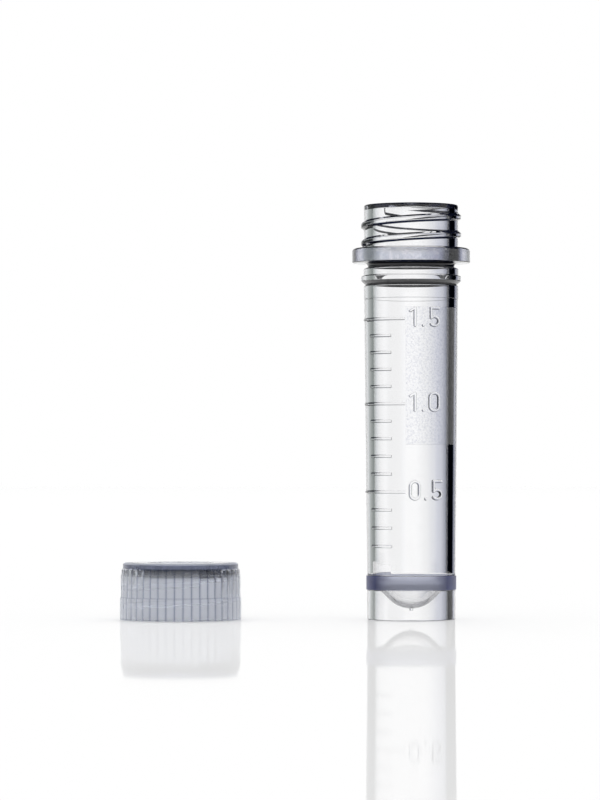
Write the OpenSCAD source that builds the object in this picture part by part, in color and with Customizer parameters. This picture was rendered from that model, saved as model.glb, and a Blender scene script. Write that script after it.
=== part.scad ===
// Self-standing 2 ml cryovial with an outside thread, its screw cap taken off beside it, and the ring that seals it.
// The origin is the centre of the edge that the tube stands on. +Z is up, and the graduations face -Y.

/* [Tube] */
// Height of the tube from its standing edge to its rim
tube_h = 45.8; // [40:0.1:60]
// Bore at the mouth
mouth_d = 8.54; // [8:0.01:10]
// Depth below the rim over which the bore is straight
mouth_land = 4; // [2:0.1:8]
// Bore just above the rounded bottom
bore_low_d = 8.1; // [7.6:0.01:8.5]
// Wall of the neck and of the top of the body
neck_wall = 0.95; // [0.8:0.01:1.2]
// Wall of the body just above the foot band
low_wall = 0.83; // [0.6:0.01:1.2]
// Rounding of the rim and of the standing edge
edge_r = 0.15; // [0.05:0.01:0.25]

/* [Foot] */
// Height of the open skirt under the band
skirt_h = 3.3; // [2:0.1:6]
// Wall of the skirt
skirt_wall = 0.78; // [0.6:0.01:1.2]
// Height of the band round the foot
band_h = 1.57; // [1:0.01:3]
// How far the band stands proud of the body
band_proud = 0.09; // [0.05:0.01:0.3]
// Thickness of the rounded bottom
floor_t = 0.47; // [0.4:0.01:0.8]
// Clear height under the tip of the rounded bottom
tip_clear = 1.36; // [0.6:0.01:2]
// Slope of the bottom's cone above the horizontal
cone_deg = 41; // [30:1:50]
// Inside rounding of the tip
tip_r = 1.2; // [0.8:0.05:1.8]
// Rounding between the cone and the bore
knee_r = 1; // [0.5:0.05:1.5]
// Diameter of the gate mark on the tip
gate_d = 0.4; // [0.2:0.05:0.8]
// Height of the gate mark
gate_h = 0.23; // [0.1:0.01:0.4]

/* [Neck] */
// Height of the neck above the flange
neck_h = 4.8; // [4.4:0.1:6]
// Diameter of the flange
flange_d = 13.04; // [12.4:0.01:14]
// Thickness of the flange
flange_t = 1.6; // [1:0.1:2.5]
// Depth of the groove under the flange
flange_groove = 0.4; // [0.1:0.01:0.45]
// Height over which that groove runs out
flange_groove_h = 0.66; // [0.4:0.01:1]
// Distance from the flange down to the bead
bead_drop = 1.44; // [1.2:0.01:2.5]
// Height of the bead
bead_h = 0.7; // [0.4:0.01:1.2]
// How far the bead stands proud
bead_proud = 0.28; // [0.1:0.01:0.5]
// Depth of the groove under the bead
bead_groove = 0.3; // [0.1:0.01:0.4]
// Height over which that groove runs out
bead_groove_h = 0.56; // [0.3:0.01:1]
// Distance from the flange down to the step where the sleeve ends
sleeve_h = 4; // [3.8:0.1:6]
// How far the sleeve stands proud of the body
sleeve_proud = 0.04; // [0.02:0.01:0.15]

/* [Thread] */
// Rise of the thread in one turn
lead = 1.95; // [1.8:0.01:2.3]
// Depth of the thread
thread_depth = 0.33; // [0.25:0.01:0.45]
// Height of the tube's thread at its crest
crest_h = 0.62; // [0.4:0.01:0.8]
// Height of the tube's thread at its root
root_h = 0.76; // [0.6:0.01:0.95]
// Gap between a thread's ends and the flange, the rim's rounding, or the cap's open end
thread_gap = 0.09; // [0.05:0.01:0.2]
// Direction in which the tube's thread starts, from +X towards +Y
thread_deg = 165; // [0:1:359]
// Radial clearance between the two threads
thread_clear = 0.17; // [0.1:0.01:0.25]
// Clearance along the axis between the bearing flanks of the closed cap
thread_play = 0.12; // [0.05:0.01:0.3]

/* [Graduations] */
// Height of the 0.5 ml line above the standing edge
half_ml_z = 14.1; // [13:0.1:16]
// Distance between the 0.5 ml and the 1.0 ml line
half_ml_rise = 9.67; // [8.5:0.01:9.8]
// How much less each further half millilitre rises, because the bore widens
rise_loss = 0.36; // [0.1:0.01:0.5]
// Lowest graduation, in tenths of a millilitre
first_mark = 2; // [1:1:4]
// Width of a line
line_w = 0.3; // [0.15:0.01:0.4]
// How far the lines stand proud
mark_t = 0.1; // [0.05:0.01:0.2]
// Angle from the front at which the long lines start
long_from = -96; // [-120:1:-70]
// Angle from the front at which the long lines end
long_to = -9.4; // [-30:0.1:-9]
// Angle from the front at which the short lines start
short_from = -62; // [-90:1:-40]
// Angle from the front at which the short lines end
short_to = -27; // [-35:1:-20]

/* [Numbers] */
// Height of a number
digit_h = 2.2; // [1.6:0.1:2.6]
// Width of a round digit
digit_w = 1.26; // [1:0.01:1.4]
// Width of a digit's stroke
stroke_w = 0.28; // [0.2:0.01:0.35]
// Space between the digits
digit_gap = 0.42; // [0.3:0.01:0.6]
// Left end of the numbers, from the middle of the front
label_x = -0.38; // [-0.6:0.01:0]
// Height of a number's middle above its line
label_lift = 0.2; // [-0.4:0.05:0.4]
// How far the numbers stand proud of the marking panel
digit_t = 0.07; // [0.05:0.01:0.15]

/* [Marking panel] */
// Height of the panel's lower edge above the standing edge
panel_z = 19.3; // [16:0.1:22]
// Height of the panel
panel_h = 15.1; // [6:0.1:15.5]
// How far the panel stands proud
panel_t = 0.05; // [0.02:0.01:0.08]
// Angle from the front at which the panel starts
panel_from = -8.4; // [-9:0.1:0]
// Angle from the front at which the panel ends
panel_to = 70; // [45:1:110]

/* [Cap] */
// Distance between the axes of the tube and of the cap set down beside it
cap_apart = 25.5; // [16:0.5:60]
// Gap between the closed cap and the flange
cap_gap = 0.2; // [0.1:0.01:0.5]
// Thickness of the cap's top over the sealing ring
top_t = 0.7; // [0.5:0.01:1.2]
// Wall of the cap behind its thread
cap_wall = 0.69; // [0.5:0.01:1]
// Height of the cap's thread at its crest
cap_crest_h = 0.45; // [0.3:0.01:0.55]
// Height of the cap's thread at its root
cap_root_h = 0.7; // [0.5:0.01:0.8]
// Rounding of the cap's top edge
top_r = 0.3; // [0.1:0.05:0.5]
// Chamfer at the cap's open end
entry = 0.2; // [0.1:0.01:0.3]

/* [Grip] */
// Ribs round the cap
ribs = 44; // [24:1:60]
// Depth of the grooves between the ribs
rib_depth = 0.13; // [0.05:0.01:0.2]
// Height of the wide tier at the cap's open end
tier_h = 2.43; // [1:0.01:3]
// How far each tier stands proud of the one above it
tier_step = 0.08; // [0.03:0.01:0.15]
// Distance from the cap's top down to the fine step between its two upper tiers
fine_step_drop = 1.3; // [1:0.01:1.6]
// Distance from the cap's top down to the ends of the ribs
rib_drop = 0.65; // [0.6:0.01:0.9]
// How far the smooth edge above the ribs lies inside their grooves
edge_in = 0.03; // [0.02:0.01:0.1]

/* [Pocket and plug] */
// Diameter of the pocket in the cap's top
pocket_d = 7.4; // [5:0.1:7.6]
// Depth of the pocket
pocket_depth = 1.3; // [0.6:0.05:1.4]
// Lugs round the pocket's wall
lugs = 6; // [3:1:8]
// Width of a lug
lug_w = 1.55; // [0.8:0.05:2]
// How far a lug reaches into the pocket
lug_reach = 0.4; // [0.2:0.05:0.6]
// Direction of a lug's middle, from +X towards +Y
lug_deg = 24; // [0:1:119]
// How far the plug of the closed cap reaches below the rim
plug_reach = 0.38; // [0.2:0.01:0.8]
// Radial clearance between the plug and the mouth
plug_clear = 0.17; // [0.1:0.01:0.3]
// Gap between the rim and the shoulder that carries the ring
shoulder_gap = 0.05; // [0.02:0.01:0.1]

/* [Sealing ring] */
// Diameter of the ring's section
ring_t = 0.95; // [0.8:0.01:1.1]
// Bore of the ring
ring_bore = 9.05; // [8.8:0.01:9.2]
// Clearance round the seated ring
ring_play = 0.02; // [0.01:0.01:0.05]

/* [Hidden] */
$fn = 128;

// How deep every added piece is rooted in the wall that carries it, so that the two become one solid
root = 0.3;
// How far a cut runs past the face that it starts from
past = 1;
// Steps of the roundings
arc_steps = 6;
// Degrees of thread between two rings of points
thread_step = 6;
// Graduations in half a millilitre, and the half millilitres that are numbered
per_half = 5;
halves = 3;
// Where the points of a rib's outline lie, as shares of the rib's width from its middle
rib_points = [-0.5, -0.36, -0.12, 0.12, 0.36];

mouth_r = mouth_d / 2;
neck_r = mouth_r + neck_wall;
bore_low_r = bore_low_d / 2;
low_r = bore_low_r + low_wall;
skirt_in_r = low_r - skirt_wall;
band_r = low_r + band_proud;
band_top = skirt_h + band_h;
flange_top = tube_h - neck_h;
flange_z = flange_top - flange_t;
bead_top = flange_z - bead_drop;
bead_z = bead_top - bead_h;
sleeve_z = flange_z - sleeve_h;
crest_r = neck_r + thread_depth;

// The cone and the roundings of the bottom, inside
tip_zc = tip_clear + floor_t + tip_r;
tip_join = [tip_r * sin(cone_deg), tip_zc - tip_r * cos(cone_deg)];
knee_join_r = bore_low_r - knee_r + knee_r * sin(cone_deg);
knee_zc = tip_join.y + (knee_join_r - tip_join.x) * tan(cone_deg) + knee_r * cos(cone_deg);
// The same cone, outside, down to where it leaves the flat underside of the band
out_r = tip_r + floor_t;
out_join = [out_r * sin(cone_deg), tip_zc - out_r * cos(cone_deg)];
cone_out_r = out_join.x + (skirt_h - out_join.y) / tan(cone_deg);

// Height of the closed cap's open end above the tube's standing edge
closed_z = flange_top + cap_gap;
// Heights in the cap, from its open end
rim_z = tube_h - closed_z;
ceiling_z = rim_z + ring_t + ring_play;
cap_h = ceiling_z + top_t;
cap_bore_r = crest_r + thread_clear;
cap_crest_r = neck_r + thread_clear;
cap_root_r = cap_bore_r + cap_wall;
grip_r = cap_root_r + rib_depth;
rib_end_z = cap_h - rib_drop;
top_edge_r = cap_root_r - edge_in;
pocket_z = cap_h - pocket_depth;
pocket_r = pocket_d / 2;
plug_z = rim_z - plug_reach;
plug_r = mouth_r - plug_clear;
ring_mean_r = (ring_bore + ring_t) / 2;
shoulder_r = ring_bore / 2 - ring_play;
shoulder_z = rim_z + shoulder_gap;
ring_z = ceiling_z - ring_play - ring_t / 2;

// The tube's thread, from the flange up to the rim's rounding, by its flat underside
tube_thread_z = flange_top + thread_gap;
tube_turns = (tube_h - edge_r - thread_gap - root_h - tube_thread_z) / lead;
// The cap's thread, by its flat top. It is the same helix as the tube's when the cap is closed, lowered by the play.
cap_thread_z = entry + thread_gap + cap_root_h;
cap_turns = (rim_z - edge_r - thread_gap - cap_thread_z) / lead;
cap_thread_deg = thread_deg + 360 * (closed_z + cap_thread_z + thread_play - tube_thread_z) / lead;

function arc(centre, r, a0, a1) =
    [for (i = [0:arc_steps]) let (a = a0 + (a1 - a0) * i / arc_steps) centre + r * [cos(a), sin(a)]];

// Outer radius of the body, which tapers towards the foot
function body_r(z) = low_r + (neck_r - low_r) * (z - band_top) / (flange_z - band_top);
function sleeve_r(z) = body_r(z) + sleeve_proud;

function tube_outside() = concat(
    arc([skirt_in_r + edge_r, edge_r], edge_r, 180, 270),
    arc([low_r - edge_r, edge_r], edge_r, 270, 360),
    [[low_r, skirt_h], [band_r, skirt_h], [band_r, band_top], [low_r, band_top]],
    [[body_r(sleeve_z), sleeve_z], [sleeve_r(sleeve_z), sleeve_z]],
    [[sleeve_r(bead_z - bead_groove_h), bead_z - bead_groove_h]],
    [[sleeve_r(bead_z) - bead_groove, bead_z], [sleeve_r(bead_z) + bead_proud, bead_z]],
    [[sleeve_r(bead_top) + bead_proud, bead_top], [sleeve_r(bead_top), bead_top]],
    [[sleeve_r(flange_z), flange_z - flange_groove_h], [neck_r - flange_groove, flange_z]],
    [[flange_d / 2, flange_z]],
    arc([flange_d / 2 - edge_r, flange_top - edge_r], edge_r, 0, 90),
    [[neck_r, flange_top]],
    arc([neck_r - edge_r, tube_h - edge_r], edge_r, 0, 90)
);

function tube_inside() = concat(
    arc([mouth_r + edge_r, tube_h - edge_r], edge_r, 90, 180),
    [[mouth_r, tube_h - mouth_land]],
    arc([bore_low_r - knee_r, knee_zc], knee_r, 0, cone_deg - 90),
    arc([0, tip_zc], tip_r, cone_deg - 90, -90)
);

function tube_underside() = concat(
    arc([0, tip_zc], out_r, -90, cone_deg - 90),
    [[cone_out_r, skirt_h], [skirt_in_r, skirt_h]]
);

// A band of the body's surface between two heights and two angles from the front, proud by t
module raised(z0, z1, from_deg, to_deg, t)
    rotate([0, 0, from_deg - 90])
        rotate_extrude(angle = to_deg - from_deg)
            polygon([
                [body_r(z0) - root, z0],
                [body_r(z0) + t, z0],
                [body_r(z1) + t, z1],
                [body_r(z1) - root, z1]
            ]);

// Sweeps a closed outline of [radius, height] points up the helix from angle a0 to angle a1
module helix(outline, a0, a1) {
    n = len(outline);
    rings = ceil((a1 - a0) / thread_step);
    points = [
        for (i = [0:rings]) let (a = a0 + (a1 - a0) * i / rings)
            for (p = outline) [p.x * cos(a), p.x * sin(a), p.y + lead * (a - a0) / 360]
    ];
    sides = [
        for (i = [0:rings - 1], k = [0:n - 1]) let (j = (k + 1) % n)
            each [
                [i * n + k, (i + 1) * n + j, (i + 1) * n + k],
                [i * n + k, i * n + j, (i + 1) * n + j]
            ]
    ];
    ends = [[for (k = [n - 1:-1:0]) k], [for (k = [0:n - 1]) rings * n + k]];
    polyhedron(points = points, faces = concat(sides, ends));
}

// Height of a thread's section where it is rooted in the wall, with its sloped flank carried on inwards
function rooted_h(at_crest, at_root) = at_root + (at_root - at_crest) * root / thread_depth;

module tube_thread()
    helix(
        [
            [neck_r - root, tube_thread_z],
            [crest_r, tube_thread_z],
            [crest_r, tube_thread_z + crest_h],
            [neck_r - root, tube_thread_z + rooted_h(crest_h, root_h)]
        ],
        thread_deg, thread_deg + 360 * tube_turns
    );

module cap_thread()
    helix(
        [
            [cap_bore_r + root, cap_thread_z],
            [cap_crest_r, cap_thread_z],
            [cap_crest_r, cap_thread_z - cap_crest_h],
            [cap_bore_r + root, cap_thread_z - rooted_h(cap_crest_h, cap_root_h)]
        ],
        cap_thread_deg, cap_thread_deg + 360 * cap_turns
    );

// Height of a graduation, counted in tenths of a millilitre
function mark_z(i) =
    let (n = i / per_half - 1)
    half_ml_z + n * half_ml_rise - n * (n - 1) / 2 * rise_loss;

function left_of(v) = [-v.y, v.x] / norm(v);

// Half the stroke's width, sideways from point i of a path, mitred where the path turns
function mitre(path, i) =
    let (
        last = len(path) - 2,
        before = left_of(path[max(i, 1)] - path[max(i, 1) - 1]),
        after = left_of(path[min(i, last) + 1] - path[min(i, last)]),
        middle = (before + after) / norm(before + after)
    )
    middle * stroke_w / 2 / (middle * before);

// A stroke of constant width along a path of points
module stroke(path) {
    left = [for (i = [0:len(path) - 1]) path[i] + mitre(path, i)];
    right = [for (i = [len(path) - 1:-1:0]) path[i] - mitre(path, i)];
    polygon(concat(left, right));
}

// Two half circles and the straight sides between them, round a digit's middle line
function oval(r) = concat(
    arc([digit_w / 2, digit_h - digit_w / 2], r, 0, 180),
    arc([digit_w / 2, digit_w / 2], r, 180, 360)
);

// The digits, each drawn flat from its lower left corner
module zero()
    difference() {
        polygon(oval(digit_w / 2));
        polygon(oval(digit_w / 2 - stroke_w));
    }

module one() {
    stem_x = (digit_w - stroke_w) * 2 / 3;
    flag_y = digit_h - stroke_w;
    stroke([[0, flag_y - stem_x / 2], [stem_x, flag_y], [stem_x, 0]]);
}

module five() {
    bowl_r = (digit_w - stroke_w / 2) / 2;
    bar_y = digit_h - stroke_w / 2;
    stroke(concat(
        [[digit_w, bar_y], [stroke_w, bar_y]],
        arc([bowl_r, bowl_r + stroke_w / 2], bowl_r, 135, -135)
    ));
}

module digit(d) {
    if (d == 0) zero();
    if (d == 1) one();
    if (d == 5) five();
}

function digit_room(d) = (d == 1 ? digit_w - stroke_w : digit_w) + digit_gap;

// The number of so many half millilitres, such as 1.5
module number(half) {
    whole = floor(half / 2);
    digit(whole);
    translate([digit_room(whole), 0]) {
        square(stroke_w);
        translate([stroke_w + digit_gap, 0])
            digit(half % 2 == 1 ? 5 : 0);
    }
}

// The numbers, standing proud of the curved wall
module numbers() {
    low = mark_z(per_half) - digit_h;
    high = mark_z(halves * per_half) + digit_h;
    intersection() {
        rotate_extrude()
            polygon([
                [body_r(low) - root / 2, low],
                [body_r(low) + panel_t + digit_t, low],
                [body_r(high) + panel_t + digit_t, high],
                [body_r(high) - root / 2, high]
            ]);
        rotate([90, 0, 0])
            linear_extrude(height = neck_r + past)
                for (half = [1:halves])
                    translate([label_x, mark_z(half * per_half) + label_lift - digit_h / 2])
                        number(half);
    }
}

module graduations()
    for (i = [first_mark:halves * per_half]) {
        long = i % per_half == 0;
        raised(
            mark_z(i) - line_w / 2, mark_z(i) + line_w / 2,
            long ? long_from : short_from, long ? long_to : short_to, mark_t
        );
    }

// The moulded tube: a bore with a rounded cone at its bottom, on an open skirt that it stands on
module tube()
    color("aliceblue", 0.5)
        union() {
            rotate_extrude()
                polygon(concat(tube_outside(), tube_inside(), tube_underside()));
            translate([0, 0, tip_clear - gate_h])
                cylinder(d = gate_d, h = gate_h + floor_t / 2, $fn = 24);
            tube_thread();
            graduations();
            numbers();
            raised(panel_z, panel_z + panel_h, panel_from, panel_to, panel_t);
        }

// One tier of the ribbed grip, whose ribs are low arcs with sharp grooves between them
module tier(h, r)
    linear_extrude(height = h)
        polygon([
            for (k = [1:ribs], u = rib_points)
                let (a = 360 * (k + u) / ribs)
                (r - rib_depth * pow(2 * u, 2)) * [cos(a), sin(a)]
        ]);

// The cap's outer shape, where it is round: the bevelled ends of the ribs and the smooth edge above them
module cap_round()
    rotate_extrude()
        polygon(concat(
            [[0, 0], [cap_root_r + past, 0], [cap_root_r + past, rib_end_z - past]],
            [[top_edge_r, rib_end_z + edge_in]],
            arc([top_edge_r - top_r, cap_h - top_r], top_r, 0, 90),
            [[0, cap_h]]
        ));

module cap_outside()
    intersection() {
        union() {
            tier(tier_h, grip_r + 2 * tier_step);
            tier(cap_h - fine_step_drop, grip_r + tier_step);
            tier(cap_h, grip_r);
        }
        cap_round();
    }

module cap_bore()
    rotate_extrude()
        polygon([
            [0, -past],
            [cap_bore_r + entry + past, -past],
            [cap_bore_r, entry],
            [cap_bore_r, ceiling_z],
            [0, ceiling_z]
        ]);

// The shoulder that carries the sealing ring, and the plug below it that enters the mouth
module plug()
    rotate_extrude()
        polygon([
            [0, plug_z],
            [plug_r - edge_r, plug_z],
            [plug_r, plug_z + edge_r],
            [plug_r, shoulder_z],
            [shoulder_r, shoulder_z],
            [shoulder_r, ceiling_z + root],
            [0, ceiling_z + root]
        ]);

// The round pocket in the cap's top, between the lugs that hold a colour disc
module pocket()
    translate([0, 0, pocket_z])
        difference() {
            cylinder(r = pocket_r, h = pocket_depth + past);
            for (k = [0:lugs - 1])
                rotate([0, 0, lug_deg + 360 * k / lugs])
                    translate([pocket_r - lug_reach, -lug_w / 2, -past])
                        cube([lug_reach + past, lug_w, pocket_depth + 3 * past]);
        }

// The moulded cap, set down on its open end
module cap()
    color("lightsteelblue", 0.8)
        translate([-cap_apart, 0, 0])
            union() {
                difference() {
                    union() {
                        difference() {
                            cap_outside();
                            cap_bore();
                        }
                        plug();
                    }
                    pocket();
                }
                cap_thread();
            }

// The rubber ring round the cap's shoulder, which seals against the tube's rim
module seal_ring()
    color("darkslategray")
        translate([-cap_apart, 0, ring_z])
            rotate_extrude()
                translate([ring_mean_r, 0])
                    circle(d = ring_t, $fn = 48);

tube();
cap();
seal_ring();
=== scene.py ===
"""Looks of a self-standing screw-cap cryovial, with its cap off and set down beside it.

Every piece is modelled in millimetres and put into the scene in metres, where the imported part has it.
"""

import math
from types import SimpleNamespace

import bmesh
import bpy
from bpy.props import FloatProperty, FloatVectorProperty, IntProperty, PointerProperty
from mathutils import Matrix, Vector


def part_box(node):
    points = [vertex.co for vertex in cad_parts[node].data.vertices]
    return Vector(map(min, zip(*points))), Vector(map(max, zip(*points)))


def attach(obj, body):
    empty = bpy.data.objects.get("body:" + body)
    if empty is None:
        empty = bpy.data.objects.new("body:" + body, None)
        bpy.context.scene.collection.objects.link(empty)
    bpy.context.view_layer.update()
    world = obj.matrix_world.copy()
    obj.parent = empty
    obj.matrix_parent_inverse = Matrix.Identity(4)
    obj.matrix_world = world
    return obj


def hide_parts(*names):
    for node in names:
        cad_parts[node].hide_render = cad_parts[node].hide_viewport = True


bl_info = {
    "name": "Self-standing cryovial",
    "version": (1, 0, 0),
    "blender": (4, 5, 0),
    "location": "3D View > Sidebar > Cryovial",
    "description": "Models the tube, its screw cap and the sealing ring, and sets the studio round them",
    "category": "Object",
}

MM = 0.001
AXIS = Vector((0, 0, 1))

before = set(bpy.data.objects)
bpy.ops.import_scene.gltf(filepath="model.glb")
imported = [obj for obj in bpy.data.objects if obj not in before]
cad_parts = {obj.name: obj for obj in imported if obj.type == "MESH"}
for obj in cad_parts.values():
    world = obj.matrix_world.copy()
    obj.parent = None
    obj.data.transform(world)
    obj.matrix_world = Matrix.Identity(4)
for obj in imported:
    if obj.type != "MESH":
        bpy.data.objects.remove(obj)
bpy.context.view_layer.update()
_, TUBE_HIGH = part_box("tube")
CAP_LOW, CAP_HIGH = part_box("cap")

# Steps round a full turn, in a rounding of a wall's outline, and in the knee and the tip of the tube's bore
ROUND_STEPS = 256
CORNER_STEPS = 6
ARC_STEPS = 10
# Steps round one rib of the cap, and along the bevel at its end
RIB_STEPS = 12
BEVEL_STEPS = 4
# Degrees between two sections of a thread, of a graduation, of the marking panel and of the studio's screen
THREAD_STEP = 2.5
LINE_STEP = 1.5
PANEL_STEP = 1.4
SCREEN_STEP = 2.75
# How deep in millimetres an added piece is rooted in the wall that carries it
ROOT = 0.3
# Radii in millimetres of the small roundings that the moulds leave
KEEN, TIGHT, EASED, BLUNT, MILD, FULL, SOFT = 0.03, 0.04, 0.05, 0.06, 0.08, 0.1, 0.12
# Distance in millimetres below which two places are the same
NEAR = 0.001
# How far a marked face may lie off the wall that it belongs to
TOUCH = 0.02
# Angle between two faces above which the edge between them stays crisp
CRISP = math.radians(35)
# Tenths of a millilitre between two numbers on the tube, and how many numbers there are
HALF = 5
NUMBERS = 3
# Names of the attributes that say how matt a piece is, how much painted shade the cap's outside takes,
# deepest in the grooves between two ribs, and how much painted shade darkens an inside corner of the tube and
# how little light it lets through
MATT = "matt"
PAINTED_GROOVE_SHADE = "groove"
PAINTED_CORNER_SHADE = "corner"
# How matt the tube's marking panel, the flange's edge and the foot band are
PANEL_MATT = 0.25
FLANGE_MATT = 0.4
BAND_MATT = 1.0


# ---------------------------------------------------------------------------
# Sizes and colours
# ---------------------------------------------------------------------------


def length(name, description, millimetres):
    """A length that is given in millimetres and kept in metres."""
    return FloatProperty(
        name=name, description=description, default=millimetres * MM, unit="LENGTH", precision=6
    )


def angle(name, description, degrees):
    """An angle that is given in degrees and kept in radians."""
    return FloatProperty(
        name=name, description=description, default=math.radians(degrees), unit="ROTATION"
    )


def linear(colour):
    """The linear colour of an sRGB hex value such as "8fa0b4"."""
    parts = [int(colour[i : i + 2], 16) / 255 for i in (0, 2, 4)]
    return [c / 12.92 if c <= 0.04045 else ((c + 0.055) / 1.055) ** 2.4 for c in parts] + [1.0]


def tint(name, description, colour):
    """A colour that is given as an sRGB hex value."""
    return FloatVectorProperty(
        name=name, description=description, default=linear(colour), subtype="COLOR", size=4, min=0, max=1
    )


class CryovialTubeSizes(bpy.types.PropertyGroup):
    """Sizes of the tube's bore, foot and neck"""

    height: length("Height", "Height of the tube", TUBE_HIGH.z / MM)
    mouth: length("Mouth", "Radius of the bore at the mouth", 4.27)
    mouth_land: length("Mouth land", "Length of the straight bore below the rim", 4)
    lead_in: length("Lead-in", "Width and depth of the chamfer inside the rim", 0.5)
    bore_low: length("Lower bore", "Radius of the bore just above its rounded bottom", 4.05)
    neck_wall: length("Neck wall", "Wall of the neck behind its thread", 0.95)
    low_wall: length("Lower wall", "Wall of the body at the foot", 0.83)
    edge: length("Edge rounding", "Rounding of the rim and the standing edge", 0.15)
    skirt: length("Skirt height", "Height of the open skirt that the tube stands on", 3.3)
    skirt_wall: length("Skirt wall", "Wall of the skirt", 0.78)
    band: length("Band height", "Height of the band above the skirt", 1.57)
    band_proud: length("Band step", "How far the band stands proud of the body", 0.09)
    floor: length("Floor", "Thickness of the cone under the bore", 0.47)
    tip_clear: length("Tip clearance", "Gap between the cone's tip and the surface the tube stands on", 1.36)
    cone: angle("Cone slope", "Slope of the cone at the bottom of the bore", 44)
    tip: length("Tip radius", "Rounding of the bore's lowest point", 3)
    knee: length("Knee radius", "Rounding between the bore and its cone", 1.3)
    gate: length("Gate", "Radius of the gate mark under the tip", 0.2)
    gate_height: length("Gate height", "How far the gate mark stands below the tip", 0.23)
    neck: length("Neck height", "Height of the threaded neck above the flange", 4.8)
    flange: length("Flange", "Radius of the flange", TUBE_HIGH.x / MM)
    flange_thick: length("Flange thickness", "Thickness of the flange", 1.6)
    flange_groove: length("Flange groove", "Depth of the groove under the flange", 0.42)
    flange_groove_run: length("Flange groove run", "Height of that groove with its slope", 0.68)
    flange_slope: length("Flange groove slope", "Height of the slope that ends that groove", 0.22)
    flange_fillet: length("Flange fillet", "Fillet between that groove and the flange", 0.42)
    flange_round: length("Flange rounding", "Rounding of the flange's upper edge", 0.32)
    bead_drop: length("Bead drop", "Distance from the flange down to the bead", 1.44)
    bead: length("Bead height", "Height of the bead under the flange", 0.7)
    bead_proud: length("Bead step", "How far the bead stands proud", 0.28)
    bead_bevel: length("Bead bevel", "How far up its side the bead is bevelled", 0.12)
    bead_groove: length("Bead groove", "Depth of the groove under the bead", 0.17)
    bead_groove_drop: length("Bead groove drop", "Distance from the bead to the groove's deepest line", 0.28)
    sleeve: length("Sleeve", "Distance from the flange down to the small step of the body", 4)
    sleeve_proud: length("Sleeve step", "How far the body stands proud above that step", 0.04)
    lead: length("Thread lead", "Rise of the thread in one turn", 1.95)
    thread_depth: length("Thread depth", "Depth of the thread", 0.33)
    flank: length("Lower flank", "Height of the thread's lower flank", 0.2)
    crest: length("Thread crest", "Height of the thread at its crest", 0.42)
    thread_foot: length("Thread foot", "Height of the thread at its root", 0.86)
    thread_gap: length("Thread gap", "Gap between the thread's ends and the flange or the rim", 0.09)
    thread_start: angle("Thread start", "Direction in which the thread starts", 165)
    turns: FloatProperty(name="Thread turns", description="Turns of the thread", default=1.9)


class CryovialMarkSizes(bpy.types.PropertyGroup):
    """Sizes of the moulded graduations, numbers and marking panel"""

    first_half: length("First half millilitre", "Height of the 0.5 ml line", 14.1)
    half_rise: length("Half millilitre", "Distance between the 0.5 ml and the 1.0 ml line", 9.67)
    rise_loss: length("Rise loss", "How much less each further half millilitre rises", 0.36)
    first_mark: IntProperty(name="First line", description="Lowest line, in tenths of a ml", default=2)
    line: length("Line bead", "Radius of the bead that forms a line", 0.2)
    line_proud: length("Line step", "How far the lines stand proud", 0.1)
    long_from: angle("Long line start", "Angle from the front at which the long lines start", -96)
    long_to: angle("Long line end", "Angle from the front at which the long lines end", -9.4)
    short_from: angle("Short line start", "Angle from the front at which the short lines start", -62)
    short_to: angle("Short line end", "Angle from the front at which the short lines end", -27)
    digit: length("Digit height", "Height of a number", 2.2)
    digit_wide: length("Digit width", "Width of a round digit", 1.26)
    stroke: length("Stroke width", "Width of a digit's stroke", 0.28)
    digit_gap: length("Digit gap", "Space between the digits", 0.42)
    label: length("Number start", "Left end of the numbers, from the middle of the front", -0.38)
    label_lift: length("Number lift", "Height of a number's middle above its line", 0.2)
    digit_proud: length("Digit step", "How far the numbers stand proud of the marking panel", 0.1)
    stroke_bead: length("Stroke bead", "Radius of the bead that forms a stroke", 0.19)
    panel_low: length("Panel foot", "Height of the marking panel's lower edge", 19.3)
    panel: length("Panel height", "Height of the marking panel", 15.1)
    panel_proud: length("Panel step", "How far the marking panel stands proud", 0.05)
    panel_from: angle("Panel start", "Angle from the front at which the panel starts", -8.4)
    panel_to: angle("Panel end", "Angle from the front at which the panel ends", 70)


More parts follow.
